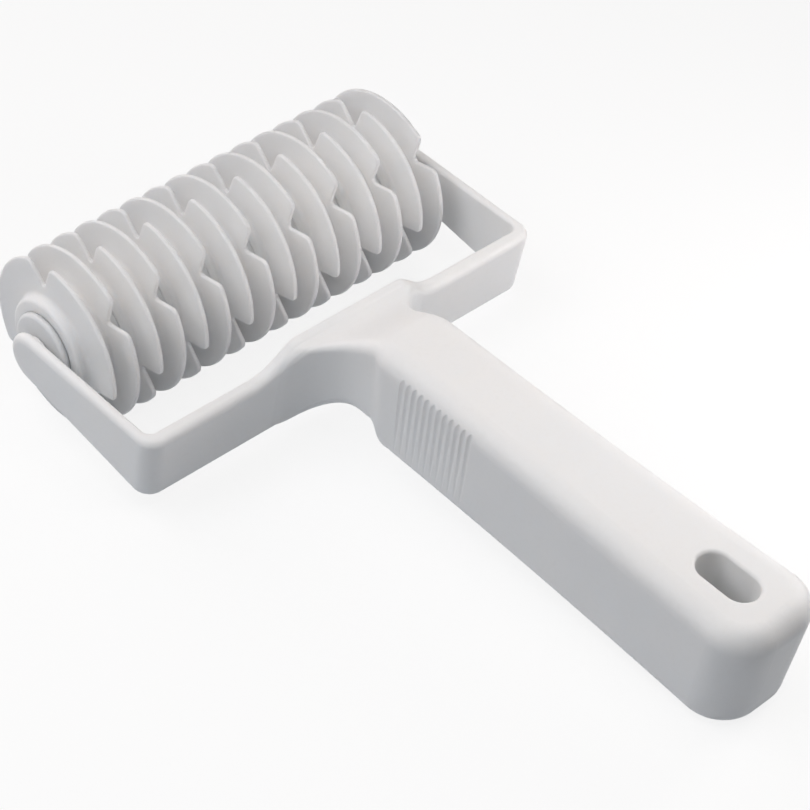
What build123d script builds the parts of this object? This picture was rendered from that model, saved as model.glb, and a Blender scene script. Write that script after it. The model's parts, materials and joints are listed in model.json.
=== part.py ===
# Lattice roller cutter for pastry: a one-piece handle and fork, and a free-turning roller of notched discs.
# Millimetres and degrees. The model is worked out in a working frame whose origin is on the roller's axis,
# midway between the arms: +X along the axis, +Y from the handle to the roller, +Z up, with the handle level.
# At the end every piece is turned and moved to the pose in which the tool lies on a table.
import math
import os

from build123d import *

# Roller: notched discs on a hexagonal core
DISC_COUNT = 16
DISC_PITCH = 7.5
DISC_R = 24.4
BLADE_THICK = 1.3
ROOT_FILLET = 2.0
BLADE_EDGE = 0.5
HUB_R = 14.0
HUB_EDGE = 0.4
END_HUB = 3.4
END_HUB_EDGE = 1.0
STEP_SHARE = 0.45
NOTCH_COUNT = 3
NOTCH_HALF_ANGLE = 10.8
NOTCH_FOOT_SHARE = 0.25
NOTCH_ROUND = 1.0
NOTCH_CORNER = 2.2
NOTCH_LEAD = 43.5

# Core, collars and axle
CORE_FLATS = 14.0
CORE_BORE_R = 5.0
KEY_CLEARANCE = 0.05
COLLAR_R = 10.5
COLLAR_THICK = 1.75
COLLAR_EDGE = 0.9
SPIGOT_LENGTH = 6.0
SPIGOT_CLEARANCE = 0.02
AXLE_R = 3.0
AXLE_CHAMFER = 0.4
RUNNING_CLEARANCE = 0.05
SEAT_CLEARANCE = 0.02
SOCKET_SKIN = 1.2
END_PLAY = 0.3

# Fork: arms, crossbar and its raised middle
FORK_TILT = 8.0
FORK_DRAFT = 0.022
ARM_WALL = 3.0
BOSS_LENGTH = 1.3
ARM_END_R = 7.2
ARM_END_DROP = 0.8
CROSSBAR_WALL = 4.3
CROSSBAR_REACH = 49.3
FORK_BOTTOM = 14.8
FORK_OUTER_CORNER = 5.0
FORK_INNER_CORNER = 2.5
FORK_OUTER_EDGE = 1.8
FORK_INNER_EDGE = 0.9
RAISED_TOP = 13.9
RAISED_HALF = 18.6
RAISED_ROUND = 4.0
RAMP_ANGLE = 40.0
RAMP_ROUND = 12.0
BOSS_R = 4.6

# Neck between the crossbar and the grip
NECK_HALF_WIDTH = 10.7
NECK_FLARE_R = 15.0
NECK_UNDERSIDE = 5.5
GUSSET_POWER = 2.5
NECK_SINK = 0.06
NECK_RISE_END = 75.0
NECK_TOP_ROUND = 3.6
NECK_BOTTOM_ROUND = 5.0
FLARE_EDGE = 2.0
SHOULDER_START = 69.5
SHOULDER_LENGTH = 5.0

# Places of the neck's sections, as shares of its lap in the crossbar, of the flare and of the shoulder
LAP_SHARE = 0.8
LAP_STATIONS = (1.0, 0.6, 0.2)
FLARE_STATIONS = (0.01, 0.05, 0.12, 0.24, 0.42, 0.7, 1.0)
SHOULDER_STATIONS = (0, 0.25, 0.5, 0.75, 1)
CROWN_MARGIN = 1.5
CROWN_STEPS = 4
EDGE_STEPS = 8
SLOPE_STEP = 0.01

# Grip
GRIP_FRONT = 78.0
GRIP_END = 198.6
GRIP_END_LEAN = 0.12
GRIP_TOP = 23.6
GRIP_BOTTOM = 9.4
GRIP_FRONT_HALF = 12.3
GRIP_WAIST_HALF = 13.3
GRIP_TAIL_HALF = 15.9
GRIP_SIDE_LEAN = 0.036
GRIP_TAIL_CORNER = 11.0
GRIP_TOP_ROUND = 5.5
GRIP_BOTTOM_ROUND = 4.0
SLOT_WIDTH = 9.0
SLOT_LENGTH = 17.4
SLOT_FROM_END = 11.4
SLOT_RIM = 0.9

# Grooves in the grip's sides
GROOVE_COUNT = 12
GROOVE_PITCH = 2.2
GROOVE_R = 0.9
GROOVE_DEPTH = 0.7
GROOVE_FIRST = 82.0
GROOVE_LEAN = 5.0
GROOVE_FOOT = -7.0

# Sizes that follow from the ones above
NOTCH_APEX_R = HUB_R + NOTCH_FOOT_SHARE * (DISC_R - HUB_R)
HALF_STACK = DISC_PITCH * DISC_COUNT / 2
CORE_HALF = HALF_STACK - DISC_PITCH / 2 + END_HUB
COLLAR_FACE = CORE_HALF + COLLAR_THICK
BOSS_FACE = COLLAR_FACE + END_PLAY
ARM_INNER = BOSS_FACE + BOSS_LENGTH
FORK_HALF_WIDTH = ARM_INNER + ARM_WALL
FORK_TOP = ARM_END_R - ARM_END_DROP
TILT = math.radians(FORK_TILT)
FORK_UP = (0, -math.sin(TILT), math.cos(TILT))
REAR_FACE = CROSSBAR_REACH / math.cos(TILT)
RAMP_FOOT = RAISED_HALF + (RAISED_TOP - FORK_TOP) / math.tan(math.radians(RAMP_ANGLE))
NECK_LAP = LAP_SHARE * FORK_OUTER_EDGE

# Longer than any cut or blank needs to reach
BEYOND = GRIP_END

# Nearness that counts as touching, and the least cosine of an angle that counts as along a direction
TOUCH = 0.01
ALONG = 0.99


def prism(face, plane, length):
    """A face drawn on a plane, extruded by the same length to both sides of it."""
    return extrude(plane * face, amount=length, both=True)


def rounded(face, corners):
    """A face with some of its corners rounded. corners lists (x, y, radius)."""
    for x, y, radius in corners:
        vertex = face.vertices().sort_by_distance((x, y, 0))[0]
        face = fillet(vertex, radius)
    return face


def polygon(points):
    return make_face(Polyline(*points, close=True))


def mirrored_points(points):
    """Points of a right half, from the top down, followed by their mirror images back up."""
    return points + [(-x, y) for x, y in reversed(points)]


def both_sides(corners):
    """Corners of a right half, with their mirror images."""
    return corners + [(-x, y, radius) for x, y, radius in corners]


def eased(start, end, share):
    """Goes from one value to another, gently at both ends, as share goes from 0 to 1."""
    share = min(max(share, 0), 1)
    return start + (end - start) * share * share * (3 - 2 * share)


def about_roller(shape, angle):
    """Turns a shape about the roller's axis, upwards as seen from the handle's side."""
    return Rot(-angle, 0, 0) * shape


def notched_outline():
    """The blade's outline: a circle less its V notches, with rounded corners."""
    half_mouth = math.radians(NOTCH_HALF_ANGLE)
    rim_x = DISC_R * math.cos(half_mouth)
    rim_y = DISC_R * math.sin(half_mouth)
    mouth_x = 2 * rim_x - NOTCH_APEX_R
    mouth_y = 2 * rim_y
    notch = polygon([(NOTCH_APEX_R, 0), (mouth_x, mouth_y), (mouth_x, -mouth_y)])
    outline = Circle(DISC_R)
    corners = []
    for i in range(NOTCH_COUNT):
        turn = Rot(0, 0, 360 * i / NOTCH_COUNT)
        outline -= turn * notch
        places = [(NOTCH_APEX_R, 0, NOTCH_ROUND), (rim_x, rim_y, NOTCH_CORNER), (rim_x, -rim_y, NOTCH_CORNER)]
        for x, y, radius in places:
            corner = (turn * Vertex(x, y, 0)).center()
            corners.append((corner.X, corner.Y, radius))
    return rounded(outline, corners)


def is_blade_edge(edge):
    """True on the two loops round the blade's outline, and not on the short edges across it."""
    box = edge.bounding_box()
    radii = [math.hypot(edge.position_at(t).Y, edge.position_at(t).Z) for t in (0, 0.5, 1)]
    outside_hub = min(radii) > (HUB_R + NOTCH_APEX_R) / 2
    return outside_hub and box.max.X * box.min.X > 0


def cutter_disc(left_hub, right_hub):
    """One disc with its blade in the YZ plane and its first notch away from the handle."""
    flank = BLADE_THICK / 2
    points = [(-left_hub, 0), (-left_hub, HUB_R), (-flank, HUB_R), (-flank, DISC_R)]
    points += [(flank, DISC_R), (flank, HUB_R), (right_hub, HUB_R), (right_hub, 0)]
    profile = polygon(points)
    for x, hub in ((-left_hub, left_hub), (right_hub, right_hub)):
        limit = STEP_SHARE * (hub - flank)
        foot = math.copysign(flank, x)
        edge = HUB_EDGE if hub == DISC_PITCH / 2 else END_HUB_EDGE
        corners = [(foot, HUB_R, min(ROOT_FILLET, limit)), (x, HUB_R, min(edge, limit))]
        profile = rounded(profile, corners)
    blank = revolve(profile, Axis.X)
    disc = blank & prism(notched_outline(), Plane.YZ, DISC_PITCH)
    disc = fillet([e for e in disc.edges() if is_blade_edge(e)], BLADE_EDGE)
    hexagon = RegularPolygon(CORE_FLATS / 2 + KEY_CLEARANCE, 6, major_radius=False)
    return disc - prism(hexagon, Plane.YZ, DISC_PITCH)


def cutter_discs():
    """The stack of discs, neighbours turned by half a notch spacing."""
    plain = cutter_disc(DISC_PITCH / 2, DISC_PITCH / 2)
    first = cutter_disc(END_HUB, DISC_PITCH / 2)
    last = cutter_disc(DISC_PITCH / 2, END_HUB)
    step = 180 / NOTCH_COUNT
    discs = {}
    for i in range(DISC_COUNT):
        shape = first if i == 0 else last if i == DISC_COUNT - 1 else plain
        x = (i + 0.5) * DISC_PITCH - HALF_STACK
        angle = 180 + NOTCH_LEAD + step * ((i + 1) % 2)
        discs[f"cutter_disc_{i + 1:02d}"] = Pos(x, 0, 0) * about_roller(shape, angle)
    return discs


def roller_core():
    """A hexagonal tube that turns all the discs together."""
    hexagon = RegularPolygon(CORE_FLATS / 2, 6, major_radius=False)
    tube = prism(hexagon - Circle(CORE_BORE_R), Plane.YZ, CORE_HALF)
    return about_roller(tube, NOTCH_LEAD)


def end_collar(side):
    """A flange against the core's end with a spigot in its bore, running on the axle."""
    flange = extrude(Plane.YZ * Circle(COLLAR_R), amount=COLLAR_THICK)
    flange = fillet(flange.edges().sort_by(Axis.X)[-1], COLLAR_EDGE)
    spigot = extrude(Plane.YZ * Circle(CORE_BORE_R - SPIGOT_CLEARANCE), amount=-SPIGOT_LENGTH)
    bore = prism(Circle(AXLE_R + RUNNING_CLEARANCE), Plane.YZ, BEYOND)
    collar = Pos(CORE_HALF, 0, 0) * (flange + spigot - bore)
    return collar if side > 0 else mirror(collar, about=Plane.YZ)


def axle_half_length():
    """From the middle to the blind end of a socket, which leaves a skin on the arm's outside."""
    return FORK_HALF_WIDTH - FORK_DRAFT * FORK_TOP - SOCKET_SKIN


def axle():
    rod = prism(Circle(AXLE_R), Plane.YZ, axle_half_length())
    return chamfer(rod.edges().filter_by(GeomType.CIRCLE), AXLE_CHAMFER)


def fork_plan():
    """The U of arms and crossbar, seen along the fork's own upright direction."""
    rear = -CROSSBAR_REACH
    inner = rear + CROSSBAR_WALL
    wide = FORK_HALF_WIDTH + ARM_WALL
    outer = polygon(mirrored_points([(wide, BEYOND), (wide, rear)]))
    hollow = polygon(mirrored_points([(ARM_INNER, 2 * BEYOND), (ARM_INNER, inner)]))
    return outer - rounded(hollow, both_sides([(ARM_INNER, inner, FORK_INNER_CORNER)]))


def ramp_height(x):
    """Height of the crossbar's top at a distance from the middle, with its rounded ramp."""
    slope = math.radians(RAMP_ANGLE)
    corner_end = RAISED_HALF - RAISED_ROUND * math.tan(slope / 2)
    foot_end = RAMP_FOOT + RAMP_ROUND * math.tan(slope / 2)
    if x <= corner_end:
        return RAISED_TOP
    if x >= foot_end:
        return FORK_TOP
    if x < corner_end + RAISED_ROUND * math.sin(slope):
        return RAISED_TOP - RAISED_ROUND + math.sqrt(RAISED_ROUND**2 - (x - corner_end) ** 2)
    if x > foot_end - RAMP_ROUND * math.sin(slope):
        return FORK_TOP + RAMP_ROUND - math.sqrt(RAMP_ROUND**2 - (foot_end - x) ** 2)
    return FORK_TOP + (RAMP_FOOT - x) * math.tan(slope)


def ramp_stretch(x):
    """How much longer the crossbar's top is than its plan, at a distance from the middle."""
    fall = ramp_height(x) - ramp_height(x + SLOPE_STEP)
    return math.hypot(1, fall / SLOPE_STEP)


def fork_front():
    """The fork seen from the front: drafted sides, a raised middle and the ramps beside it."""
    low = -2 * FORK_BOTTOM
    low_half = FORK_HALF_WIDTH - FORK_DRAFT * (FORK_TOP - low)
    right = [(RAISED_HALF, RAISED_TOP), (RAMP_FOOT, FORK_TOP), (FORK_HALF_WIDTH, FORK_TOP), (low_half, low)]
    corners = [(RAISED_HALF, RAISED_TOP, RAISED_ROUND), (RAMP_FOOT, FORK_TOP, RAMP_ROUND)]
    return rounded(polygon(mirrored_points(right)), both_sides(corners))


def fork_side():
    """The fork seen from the side: round arm ends about a centre below the axle, and a sloping underside."""
    rear = -REAR_FACE + FORK_BOTTOM * math.tan(TILT)
    fall = FORK_BOTTOM - ARM_END_DROP
    slope = math.atan2(fall, -rear) - math.asin(ARM_END_R / math.hypot(rear, fall))
    touch = (ARM_END_R * math.sin(slope), -ARM_END_DROP - ARM_END_R * math.cos(slope))
    behind = rear - CROSSBAR_REACH
    low = -FORK_BOTTOM - (rear - behind) * math.tan(slope)
    lead = -CROSSBAR_REACH / 2
    face = polygon([touch, (0, FORK_TOP), (lead, FORK_TOP), (lead, BEYOND), (behind, BEYOND), (behind, low)])
    return face + Pos(0, -ARM_END_DROP) * Circle(ARM_END_R)


def is_upright(edge):
    """True on straight edges in the fork's own upright direction."""
    return edge.geom_type == GeomType.LINE and abs(edge.tangent_at(0.5).dot(Vector(*FORK_UP))) > ALONG


def is_outer_corner(edge):
    """True on the two upright edges at the outside of the crossbar's ends."""
    middle = edge.position_at(0.5)
    return is_upright(edge) and abs(middle.X) > ARM_INNER and middle.Y < -CROSSBAR_REACH + CROSSBAR_WALL


def is_fork_seam(edge):
    """True on edges where one face of the fork runs smoothly into the next."""
    if edge.geom_type != GeomType.LINE:
        return False
    direction = edge.tangent_at(0.5)
    in_arm = abs(edge.position_at(0.5).X) > ARM_INNER - FORK_INNER_CORNER
    if abs(direction.X) > ALONG:
        return in_arm
    across_ramp = abs(direction.Y) > ALONG and not in_arm
    return is_upright(edge) or across_ramp


def is_fork_inside(edge):
    """True on the edges round the inside of the U."""
    inner = -CROSSBAR_REACH + CROSSBAR_WALL
    for point in (edge.position_at(share) for share in (0, 0.5, 1)):
        ahead = point.Y * math.cos(TILT) + point.Z * math.sin(TILT)
        if abs(point.X) > ARM_INNER + TOUCH or ahead < inner - TOUCH:
            return False
    return not is_upright(edge)


def is_fork_outside(edge):
    return not is_fork_seam(edge) and not is_fork_inside(edge)


def fork():
    up = Plane(origin=(0, 0, 0), x_dir=(1, 0, 0), z_dir=FORK_UP)
    blank = prism(fork_plan(), up, BEYOND)
    blank &= prism(fork_front(), Plane.XZ, BEYOND)
    blank &= prism(fork_side(), Plane.YZ, BEYOND)
    blank = fillet([e for e in blank.edges() if is_outer_corner(e)], FORK_OUTER_CORNER)
    blank = fillet([e for e in blank.edges() if is_fork_outside(e)], FORK_OUTER_EDGE)
    return fillet([e for e in blank.edges() if is_fork_inside(e)], FORK_INNER_EDGE)


def axle_bosses():
    """A boss on each arm's inner face that reaches to the roller's end play."""
    stub = prism(Circle(BOSS_R), Plane.YZ, (ARM_INNER + ARM_WALL / 2 - BOSS_FACE) / 2)
    place = (ARM_INNER + ARM_WALL / 2 + BOSS_FACE) / 2
    return [Pos(side * place, 0, 0) * stub for side in (1, -1)]


def grip_half_width(y, height):
    """Half the grip's width: a parabola through its front, middle and tail, leaning in below the top."""
    share = (-y - GRIP_FRONT) / (GRIP_END - GRIP_FRONT)
    bulge = 4 * GRIP_WAIST_HALF - 2 * (GRIP_FRONT_HALF + GRIP_TAIL_HALF)
    half = GRIP_FRONT_HALF + (GRIP_TAIL_HALF - GRIP_FRONT_HALF) * share + bulge * share * (1 - share)
    return half - GRIP_SIDE_LEAN * (GRIP_TOP - height)


def neck_top(run):
    """Height of the neck's top, at a distance behind the crossbar's rear face."""
    rise = (run + NECK_LAP) / (NECK_RISE_END - REAR_FACE + NECK_LAP)
    return eased(RAISED_TOP, GRIP_TOP, rise)


def flare_reach(run, inset):
    """Distance from the middle to a place that lies inside the flare's curved wall by an inset."""
    if run >= NECK_FLARE_R:
        return NECK_HALF_WIDTH - NECK_SINK - inset
    radius = NECK_FLARE_R + NECK_SINK + inset
    return NECK_HALF_WIDTH + NECK_FLARE_R - math.sqrt(max(radius**2 - (NECK_FLARE_R - run) ** 2, 0))


def flare_edge(run, radius):
    """Points (reach, drop) of an edge that is rounded square to the flare's wall, from the wall inwards."""
    first = math.acos(1 - max(-run - NECK_SINK, 0) / radius)
    points = []
    for i in range(EDGE_STEPS + 1):
        angle = first + (math.pi / 2 - first) * i / EDGE_STEPS
        points.append((flare_reach(run, radius * (1 - math.cos(angle))), radius * (1 - math.sin(angle))))
    return points


def flare_section(run):
    """A section of the flare, at a distance behind the crossbar's rear face. Its top follows the ramps."""
    opened = run / NECK_FLARE_R
    top_round = eased(FLARE_EDGE, NECK_TOP_ROUND, opened)
    bottom_round = eased(FLARE_EDGE, NECK_BOTTOM_ROUND, opened)
    top = neck_top(run) - NECK_SINK
    gusset = (1 - min(max(opened, 0), 1)) ** GUSSET_POWER
    underside = NECK_UNDERSIDE + (FORK_BOTTOM - NECK_UNDERSIDE) * gusset - NECK_SINK
    crown = min(RAISED_HALF - RAISED_ROUND / 2, flare_reach(run, CROWN_MARGIN * top_round))
    foot = flare_reach(run, CROWN_MARGIN * bottom_round)
    places = flare_edge(run, top_round)
    inner = places[-1][0]
    places += [(inner + (crown - inner) * (i + 1) / CROWN_STEPS, 0) for i in range(CROWN_STEPS)]
    rim = [(x, top - RAISED_TOP + ramp_height(x) - drop * ramp_stretch(x)) for x, drop in places]
    keel = [(x, drop - underside) for x, drop in flare_edge(run, bottom_round)] + [(foot, -underside)]
    edges = [Line((crown, top), (-crown, top)), Line((foot, -underside), (-foot, -underside))]
    for side in (1, -1):
        edges.append(Spline(*[(side * x, y) for x, y in rim]))
        edges.append(Spline(*[(side * x, y) for x, y in keel]))
        edges.append(Line((side * rim[0][0], rim[0][1]), (side * keel[0][0], keel[0][1])))
    lean = eased(TILT, 0, run / (SHOULDER_START - REAR_FACE))
    plane = Plane(
        origin=(0, -REAR_FACE - run, 0),
        x_dir=(1, 0, 0),
        z_dir=(0, -math.cos(lean), -math.sin(lean)),
    )
    return plane * make_face(edges)


def neck_flare():
    """A loft that opens from the neck's waist out to the crossbar's rear face."""
    waist = SHOULDER_START - REAR_FACE
    runs = [-NECK_LAP * share for share in LAP_STATIONS]
    runs += [NECK_FLARE_R * share for share in FLARE_STATIONS]
    runs += [(runs[-1] + waist) / 2, waist + NECK_LAP]
    return loft([flare_section(run) for run in runs])


def shoulder_section(run):
    """A section of the shoulder between the neck's waist and the grip's front."""
    out = eased(0, 1, (run - SHOULDER_START + REAR_FACE) / SHOULDER_LENGTH)
    top = neck_top(run)
    half = NECK_HALF_WIDTH + (grip_half_width(-GRIP_FRONT, GRIP_TOP) - NECK_HALF_WIDTH) * out
    bottom = NECK_UNDERSIDE + (GRIP_BOTTOM - NECK_UNDERSIDE) * out
    foot_half = half - GRIP_SIDE_LEAN * (top + bottom) * out
    top_round = NECK_TOP_ROUND + (GRIP_TOP_ROUND - NECK_TOP_ROUND) * out
    bottom_round = NECK_BOTTOM_ROUND + (GRIP_BOTTOM_ROUND - NECK_BOTTOM_ROUND) * out
    face = polygon(mirrored_points([(half, top), (foot_half, -bottom)]))
    face = rounded(face, both_sides([(half, top, top_round), (foot_half, -bottom, bottom_round)]))
    return Plane(origin=(0, -REAR_FACE - run, 0), x_dir=(1, 0, 0), z_dir=(0, -1, 0)) * face


def neck_shoulder():
    """A loft that swells from the neck's waist to the grip's front section."""
    waist = SHOULDER_START - REAR_FACE
    runs = [waist + SHOULDER_LENGTH * share for share in SHOULDER_STATIONS]
    length = GRIP_FRONT - REAR_FACE
    runs += [(runs[-1] + length) / 2, length]
    return loft([shoulder_section(run) for run in runs])


def grip_plan(height):
    """The grip's outline at a height: its sides and tail lean in below the top."""
    front = -GRIP_FRONT
    end = -GRIP_END + GRIP_END_LEAN * (GRIP_TOP - height)
    middle = (front + end) / 2
    front_half = grip_half_width(front, height)
    tail_half = grip_half_width(end, height)
    control = 2 * grip_half_width(middle, height) - (front_half + tail_half) / 2
    right = Bezier((front_half, front), (control, middle), (tail_half, end))
    left = Bezier((-front_half, front), (-control, middle), (-tail_half, end))
    front_edge = Line((front_half, front), (-front_half, front))
    end_edge = Line((tail_half, end), (-tail_half, end))
    face = make_face([right, end_edge, left, front_edge])
    face = rounded(face, both_sides([(tail_half, end, GRIP_TAIL_CORNER)]))
    return Pos(0, 0, height) * face


def grip():
    body = loft([grip_plan(-GRIP_BOTTOM), grip_plan(GRIP_TOP)], ruled=True)
    for height, radius in ((GRIP_TOP, GRIP_TOP_ROUND), (-GRIP_BOTTOM, GRIP_BOTTOM_ROUND)):
        face = body.faces().sort_by_distance((0, -(GRIP_FRONT + GRIP_END) / 2, height))[0]
        edges = [e for e in face.edges() if e.position_at(0.5).Y < -GRIP_FRONT - TOUCH]
        body = fillet(edges, radius)
    body -= hang_slot()
    body = fillet([e for e in body.edges() if is_slot_rim(e)], SLOT_RIM)
    return body - groove_rods()


def slot_middle():
    return -GRIP_END + SLOT_FROM_END + SLOT_LENGTH / 2


def hang_slot():
    outline = Rot(0, 0, 90) * SlotOverall(SLOT_LENGTH, SLOT_WIDTH)
    return Pos(0, slot_middle(), 0) * prism(outline, Plane.XY, BEYOND)


def is_slot_rim(edge):
    """True on the slot's edges in the grip's top and bottom faces."""
    middle = edge.position_at(0.5)
    in_face = min(abs(middle.Z - GRIP_TOP), abs(middle.Z + GRIP_BOTTOM)) < TOUCH
    level = abs(edge.tangent_at(0.5).Z) < TOUCH
    near = abs(middle.Y - slot_middle()) < SLOT_LENGTH / 2 + TOUCH and abs(middle.X) < SLOT_WIDTH / 2 + TOUCH
    return in_face and level and near


def groove_rods():
    """Slim rods that cut the grip's side grooves. They come out of the side at its foot."""
    head = GRIP_TOP - GRIP_TOP_ROUND / 2
    lean = math.tan(math.radians(GROOVE_LEAN))
    rods = []
    for i in range(GROOVE_COUNT):
        y = -GROOVE_FIRST - GROOVE_PITCH * i
        for side in (1, -1):
            foot_y = y + lean * (head - GROOVE_FOOT)
            top = Vector(side * (grip_half_width(y, head) + GROOVE_R - GROOVE_DEPTH), y, head)
            foot = Vector(side * (grip_half_width(foot_y, GROOVE_FOOT) + GROOVE_R), foot_y, GROOVE_FOOT)
            along = top - foot
            middle = (top + foot) / 2
            rods.append(Plane(origin=middle, z_dir=along) * Cylinder(GROOVE_R, 2 * along.length))
    return rods


def handle_frame():
    """Fork, neck and grip in one moulding, with a blind socket for the axle in each arm."""
    body = fork() + axle_bosses()
    body -= prism(Circle(AXLE_R + SEAT_CLEARANCE), Plane.YZ, axle_half_length())
    return body + neck_flare() + neck_shoulder() + grip()


def rest_pose():
    """Turns and moves the working frame so that the roller and the grip's tail lie on a table."""
    drop = GRIP_BOTTOM - GRIP_BOTTOM_ROUND
    slant = math.hypot(1, GRIP_END_LEAN)
    reach = GRIP_END - GRIP_END_LEAN * (GRIP_TOP + drop) - GRIP_BOTTOM_ROUND * slant
    rise = math.asin((DISC_R - GRIP_BOTTOM_ROUND) / math.hypot(reach, drop)) - math.atan2(drop, reach)
    return Pos(0, 0, DISC_R) * Rot(math.degrees(rise), 0, 0)


def main():
    os.makedirs("parts", exist_ok=True)
    pieces = {"handle_frame": handle_frame(), "axle": axle(), "roller_core": roller_core()}
    pieces.update(cutter_discs())
    pieces["end_collar_left"] = end_collar(-1)
    pieces["end_collar_right"] = end_collar(1)
    pieces = {name: rest_pose() * shape for name, shape in pieces.items()}
    boxes = [shape.bounding_box() for shape in pieces.values()]
    middle = (min(box.min.Y for box in boxes) + max(box.max.Y for box in boxes)) / 2
    for name, shape in pieces.items():
        export_step(Pos(0, -middle, 0) * shape, f"parts/{name}.step")


main()
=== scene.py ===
import json
import math

import bpy
from mathutils import Matrix, Vector

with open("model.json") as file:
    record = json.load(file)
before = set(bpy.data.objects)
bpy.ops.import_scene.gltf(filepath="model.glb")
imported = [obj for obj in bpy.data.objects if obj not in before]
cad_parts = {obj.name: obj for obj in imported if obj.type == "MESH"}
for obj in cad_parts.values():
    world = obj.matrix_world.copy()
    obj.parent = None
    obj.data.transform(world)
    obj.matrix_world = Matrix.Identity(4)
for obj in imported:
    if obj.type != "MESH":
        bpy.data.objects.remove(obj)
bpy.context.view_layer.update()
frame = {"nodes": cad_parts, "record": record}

# Camera: angles in degrees round the object, from behind the handle's tail; lens and sensor in millimetres
CAMERA_AZIMUTH = -42.564
CAMERA_ELEVATION = 40.652
CAMERA_ROLL = 0.166
CAMERA_DISTANCE = 0.6715
CAMERA_TARGET = Vector((-0.00176, 0.01432, 0.01823))
CAMERA_NEAREST = 0.01
SENSOR_WIDTH = 36.0
LENS = 117.77

# Sky: its colour, and its strength straight up, level and straight down
SKY_COLOUR = (0.95, 0.97, 1.0)
SKY_ZENITH = 0.06
SKY_HORIZON = 0.05
SKY_GROUND = 0.04

# Soft boxes: place, point that they face, side length, power in watts and colour
LAMPS = {
    "back": ((0.0, 0.786, 0.481), CAMERA_TARGET, 0.8, 2.5, (1.0, 0.89, 0.84)),
    "left_up": ((-0.463, 0.091, 0.787), CAMERA_TARGET, 0.8, 2.8, (0.95, 0.97, 1.0)),
    "front_right": ((0.535, -0.599, 0.401), CAMERA_TARGET, 0.8, 0.25, (0.88, 0.94, 1.0)),
    "right": ((0.16, -0.10, 0.10), (0.045, 0.045, 0.03), 0.1, 0.19, (1.0, 0.95, 0.93)),
    "left": ((-0.36, 0.06, 0.24), (-0.02, 0.06, 0.02), 0.25, 0.15, (0.92, 0.96, 1.0)),
    "roller_top": ((-0.12, 0.14, 0.3), (0.02, 0.08, 0.03), 0.2, 0.2, (1.0, 0.96, 0.96)),
    "tail_top": ((0.02, -0.15, 0.3), (0.0, -0.11, 0.03), 0.15, 0.2, (1.0, 0.96, 0.93)),
}

# Floor: its colour for bounced light, and the share of shading in the white that the camera sees
FLOOR_HALF = 3.0
FLOOR_COLOUR = (0.56, 0.59, 0.63)
FLOOR_SHADOW_SHARE = 0.16
PURE_WHITE = (1.0, 1.0, 1.0)

# Plastics by slot: the thick frame scatters less light inside than the thin pieces of the roller
WHITE = (0.90, 0.893, 0.882)
WHITE_COOL = (0.875, 0.882, 0.885)
CORE_WHITE = (0.80, 0.80, 0.79)
FRAME_BODY = {"grain_scale": 5200.0, "ripple_scale": 120.0, "scatter": 0.35, "scatter_depth": 0.002}
ROLLER_BODY = {"grain_scale": 6000.0, "ripple_scale": 160.0, "scatter": 1.0, "scatter_depth": 0.004}
PLASTICS = {
    "frame_plastic": {"colour": WHITE, "cool_colour": WHITE_COOL, "roughness": 0.42, **FRAME_BODY},
    "disc_plastic": {"colour": WHITE, "cool_colour": WHITE_COOL, "roughness": 0.40, **ROLLER_BODY},
    "collar_plastic": {"colour": WHITE, "cool_colour": WHITE_COOL, "roughness": 0.40, **ROLLER_BODY},
    "core_plastic": {"colour": CORE_WHITE, "cool_colour": CORE_WHITE, "roughness": 0.45, **ROLLER_BODY},
}
PLASTIC_IOR = 1.46
PLASTIC_SPECULAR = 0.42
SCATTER_RADIUS = (1.0, 0.95, 0.9)

# Surface of the plastics: mottling, specks, uneven polish, ripples, grain and scuffs; scales are per metre
MOTTLE_SCALE = 38.0
SPECK_SCALE = 900.0
SPECK_SHADE = 0.965
SPECK_RANGE = (-0.6, 0.35)
POLISH_SCALE = 70.0
POLISH_SWING = 0.06
RIPPLE_HEIGHT = 0.0004
RIPPLE_STRENGTH = 0.12
GRAIN_HEIGHT = 0.00006
GRAIN_STRENGTH = 0.25
SCUFF_TURN = (0.2, 0.1, 0.5)
SCUFF_SCALE = (70.0, 1100.0, 1100.0)
SCUFF_NOISE = (0.62, 0.68)
SCUFF_DULLNESS = 0.12

# Steel of the axle, with scratches along it
STEEL = (0.60, 0.60, 0.61)
STEEL_SHADE = 0.9
STEEL_ROUGHNESS = (0.24, 0.38)
SCRATCH_SCALE = (40.0, 4000.0, 4000.0)
SCRATCH_HEIGHT = 0.00002
SCRATCH_STRENGTH = 0.3

# Most of a noise texture's values lie between these
NOISE_RANGE = (0.3, 0.7)


def direction(azimuth, elevation):
    """A unit vector from the object to a place round it; azimuth 0 is behind the handle's tail."""
    a = math.radians(azimuth)
    e = math.radians(elevation)
    return Vector((math.sin(a) * math.cos(e), -math.cos(a) * math.cos(e), math.sin(e)))


def rgba(colour, strength=1.0):
    return (*(strength * c for c in colour), 1.0)


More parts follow.
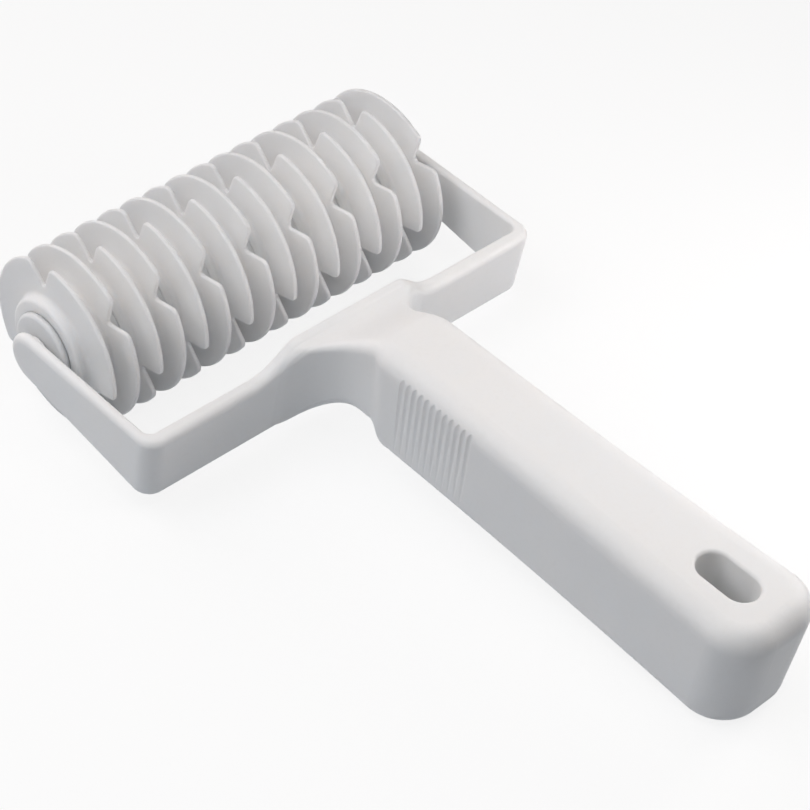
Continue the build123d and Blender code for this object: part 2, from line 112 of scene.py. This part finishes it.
class Tree:
    """A short way to add nodes to a node tree and to link them."""

    def __init__(self, node_tree):
        self.nodes = node_tree.nodes
        self.links = node_tree.links

    def add(self, kind, settings=None, **inputs):
        node = self.nodes.new(kind)
        for name, value in (settings or {}).items():
            setattr(node, name, value)
        for name, value in inputs.items():
            self.set(node, name.replace("_", " "), value)
        return node

    def set(self, node, name, value):
        """Gives an input a plain value, or links it to another node's output."""
        socket = next(s for s in node.inputs if s.name == name and s.enabled)
        if isinstance(value, bpy.types.NodeSocket):
            self.links.new(value, socket)
        else:
            socket.default_value = value

    def noise(self, place, scale, detail=2.0, roughness=0.5):
        node = self.add("ShaderNodeTexNoise", Vector=place, Scale=scale, Detail=detail, Roughness=roughness)
        return node.outputs["Fac"]

    def between(self, value, low, high, limits=NOISE_RANGE):
        """A number that goes from low to high while the value goes from one limit to the other."""
        node = self.add("ShaderNodeMapRange", Value=value, From_Min=limits[0], From_Max=limits[1])
        self.set(node, "To Min", low)
        self.set(node, "To Max", high)
        return node.outputs["Result"]

    def combine(self, operation, first, second):
        node = self.add("ShaderNodeMath", {"operation": operation})
        self.links.new(first, node.inputs[0])
        self.links.new(second, node.inputs[1])
        return node.outputs[0]

    def blend(self, share, first, second):
        node = self.add("ShaderNodeMix", {"data_type": "RGBA"}, Factor=share)
        self.set(node, "A", first)
        self.set(node, "B", second)
        return next(s for s in node.outputs if s.enabled)

    def bump(self, height, distance, strength, normal=None):
        node = self.add("ShaderNodeBump", Height=height, Distance=distance, Strength=strength)
        if normal is not None:
            self.set(node, "Normal", normal)
        return node.outputs["Normal"]

    def mix(self, share, first, second):
        """Mixes two shaders."""
        node = self.add("ShaderNodeMixShader", Fac=share)
        self.links.new(first, node.inputs[1])
        self.links.new(second, node.inputs[2])
        return node.outputs["Shader"]

    def seen_directly(self):
        """1 for what the camera sees directly, in a reflection or through glass, and 0 for other rays."""
        path = self.add("ShaderNodeLightPath").outputs
        seen = self.combine("MAXIMUM", path["Is Camera Ray"], path["Is Glossy Ray"])
        return self.combine("MAXIMUM", seen, path["Is Transmission Ray"])


def new_material(name):
    material = bpy.data.materials.new(name)
    material.use_nodes = True
    tree = Tree(material.node_tree)
    return material, tree, tree.nodes["Principled BSDF"]


def scuffs(tree, place):
    """Thin dull streaks from use: a rise in roughness, 0 on most of the surface."""
    turned = tree.add("ShaderNodeMapping", Vector=place, Rotation=SCUFF_TURN, Scale=SCUFF_SCALE)
    streaks = tree.noise(turned.outputs["Vector"], scale=1.0, detail=3.0)
    return tree.between(streaks, 0.0, SCUFF_DULLNESS, SCUFF_NOISE)


def moulded_plastic(name, colour, cool_colour, roughness, grain_scale, ripple_scale, scatter, scatter_depth):
    """Satin moulded plastic: etched grain, sink ripples, mottling, specks, scuffs and uneven polish."""
    material, tree, shader = new_material(name)
    place = tree.add("ShaderNodeTexCoord").outputs["Object"]
    mottle = tree.noise(place, scale=MOTTLE_SCALE, detail=3.0)
    tone = tree.blend(tree.between(mottle, 0.0, 1.0), rgba(colour), rgba(cool_colour))
    specks = tree.between(tree.noise(place, scale=SPECK_SCALE, detail=1.0), *SPECK_RANGE)
    clipped = tree.add("ShaderNodeClamp", Value=specks).outputs["Result"]
    tree.set(shader, "Base Color", tree.blend(clipped, tone, rgba(colour, SPECK_SHADE)))
    polish = tree.noise(place, scale=POLISH_SCALE, detail=4.0, roughness=0.6)
    satin = tree.between(polish, roughness - POLISH_SWING, roughness + POLISH_SWING)
    tree.set(shader, "Roughness", tree.combine("ADD", satin, scuffs(tree, place)))
    ripple = tree.noise(place, scale=ripple_scale, detail=1.0)
    grain = tree.noise(place, scale=grain_scale, detail=2.0, roughness=0.6)
    waves = tree.bump(ripple, RIPPLE_HEIGHT, RIPPLE_STRENGTH)
    tree.set(shader, "Normal", tree.bump(grain, GRAIN_HEIGHT, GRAIN_STRENGTH, waves))
    shader.inputs["Subsurface Weight"].default_value = scatter
    shader.inputs["Subsurface Radius"].default_value = SCATTER_RADIUS
    shader.inputs["Subsurface Scale"].default_value = scatter_depth
    shader.inputs["IOR"].default_value = PLASTIC_IOR
    shader.inputs["Specular IOR Level"].default_value = PLASTIC_SPECULAR
    return material


def drawn_steel(name):
    """Drawn stainless rod: fine scratches along X and an uneven sheen."""
    material, tree, shader = new_material(name)
    place = tree.add("ShaderNodeTexCoord").outputs["Object"]
    stretched = tree.add("ShaderNodeMapping", Vector=place, Scale=SCRATCH_SCALE).outputs["Vector"]
    lines = tree.noise(stretched, scale=1.0, detail=3.0)
    tree.set(shader, "Base Color", tree.blend(lines, rgba(STEEL), rgba(STEEL, STEEL_SHADE)))
    tree.set(shader, "Roughness", tree.between(lines, *STEEL_ROUGHNESS))
    tree.set(shader, "Normal", tree.bump(lines, SCRATCH_HEIGHT, SCRATCH_STRENGTH))
    shader.inputs["Metallic"].default_value = 1.0
    return material


def dress_nodes():
    """Gives every CAD node the material of its slot in the record."""
    materials = {slot: moulded_plastic(slot, **look) for slot, look in PLASTICS.items()}
    materials["axle_steel"] = drawn_steel("axle_steel")
    for subpart in frame["record"]["subparts"]:
        node = frame["nodes"][subpart["node"]]
        node.data.materials.clear()
        node.data.materials.append(materials[subpart["material_slot"]])


def floor_material():
    """A pale matt floor that the camera sees as white, with the object's shadow on it."""
    material = bpy.data.materials.new("floor")
    material.use_nodes = True
    tree = Tree(material.node_tree)
    tree.nodes.clear()
    matt = tree.add("ShaderNodeBsdfDiffuse", Color=rgba(FLOOR_COLOUR)).outputs["BSDF"]
    bright = tree.add("ShaderNodeBsdfDiffuse", Color=rgba(PURE_WHITE)).outputs["BSDF"]
    glow = tree.add("ShaderNodeEmission", Color=rgba(PURE_WHITE), Strength=1.0).outputs["Emission"]
    shown = tree.mix(FLOOR_SHADOW_SHARE, glow, bright)
    tree.add("ShaderNodeOutputMaterial", Surface=tree.mix(tree.seen_directly(), matt, shown))
    return material


def add_floor():
    signs = [(-1, -1), (1, -1), (1, 1), (-1, 1)]
    mesh = bpy.data.meshes.new("floor")
    mesh.from_pydata([(x * FLOOR_HALF, y * FLOOR_HALF, 0.0) for x, y in signs], [], [(0, 1, 2, 3)])
    mesh.materials.append(floor_material())
    floor = bpy.data.objects.new("floor", mesh)
    bpy.context.scene.collection.objects.link(floor)


def add_sky():
    """Soft light from all round, strongest from above; the camera sees it as white."""
    world = bpy.data.worlds.new("sky")
    world.use_nodes = True
    tree = Tree(world.node_tree)
    tree.nodes.clear()
    place = tree.add("ShaderNodeTexCoord").outputs["Generated"]
    height = tree.add("ShaderNodeSeparateXYZ", Vector=place).outputs["Z"]
    ramp = tree.add("ShaderNodeValToRGB", Fac=tree.between(height, 0.0, 1.0, (-1.0, 1.0)))
    stops = ramp.color_ramp.elements
    stops[0].color = rgba(SKY_COLOUR, SKY_GROUND)
    stops[1].color = rgba(SKY_COLOUR, SKY_ZENITH)
    level = stops.new(0.5)
    level.color = rgba(SKY_COLOUR, SKY_HORIZON)
    light = tree.add("ShaderNodeBackground", Color=ramp.outputs["Color"], Strength=1.0)
    white = tree.add("ShaderNodeBackground", Color=rgba(PURE_WHITE), Strength=1.0)
    seen = tree.mix(tree.seen_directly(), light.outputs["Background"], white.outputs["Background"])
    tree.add("ShaderNodeOutputWorld", Surface=seen)
    bpy.context.scene.world = world


def add_lamps():
    """Square soft boxes round the object, out of the camera's sight."""
    for name, (place, aim, size, power, colour) in LAMPS.items():
        back = Vector(place) - Vector(aim)
        lamp = bpy.data.lights.new(name, "AREA")
        lamp.size = size
        lamp.energy = power
        lamp.color = colour
        holder = bpy.data.objects.new(name, lamp)
        holder.location = place
        holder.rotation_euler = back.to_track_quat("Z", "Y").to_euler()
        holder.visible_camera = False
        bpy.context.scene.collection.objects.link(holder)


def add_camera():
    camera = bpy.data.cameras.new("camera")
    camera.lens = LENS
    camera.sensor_width = SENSOR_WIDTH
    camera.clip_start = CAMERA_NEAREST
    back = direction(CAMERA_AZIMUTH, CAMERA_ELEVATION)
    right = Vector((0.0, 0.0, 1.0)).cross(back).normalized()
    up = back.cross(right)
    roll = Matrix.Rotation(math.radians(CAMERA_ROLL), 4, "Z")
    turned = Matrix((right, up, back)).transposed().to_4x4() @ roll
    holder = bpy.data.objects.new("camera", camera)
    holder.matrix_world = Matrix.Translation(CAMERA_TARGET + CAMERA_DISTANCE * back) @ turned
    bpy.context.scene.collection.objects.link(holder)
    bpy.context.scene.camera = holder


dress_nodes()
add_floor()
add_sky()
add_lamps()
add_camera()
bpy.context.scene.view_settings.view_transform = "Standard"
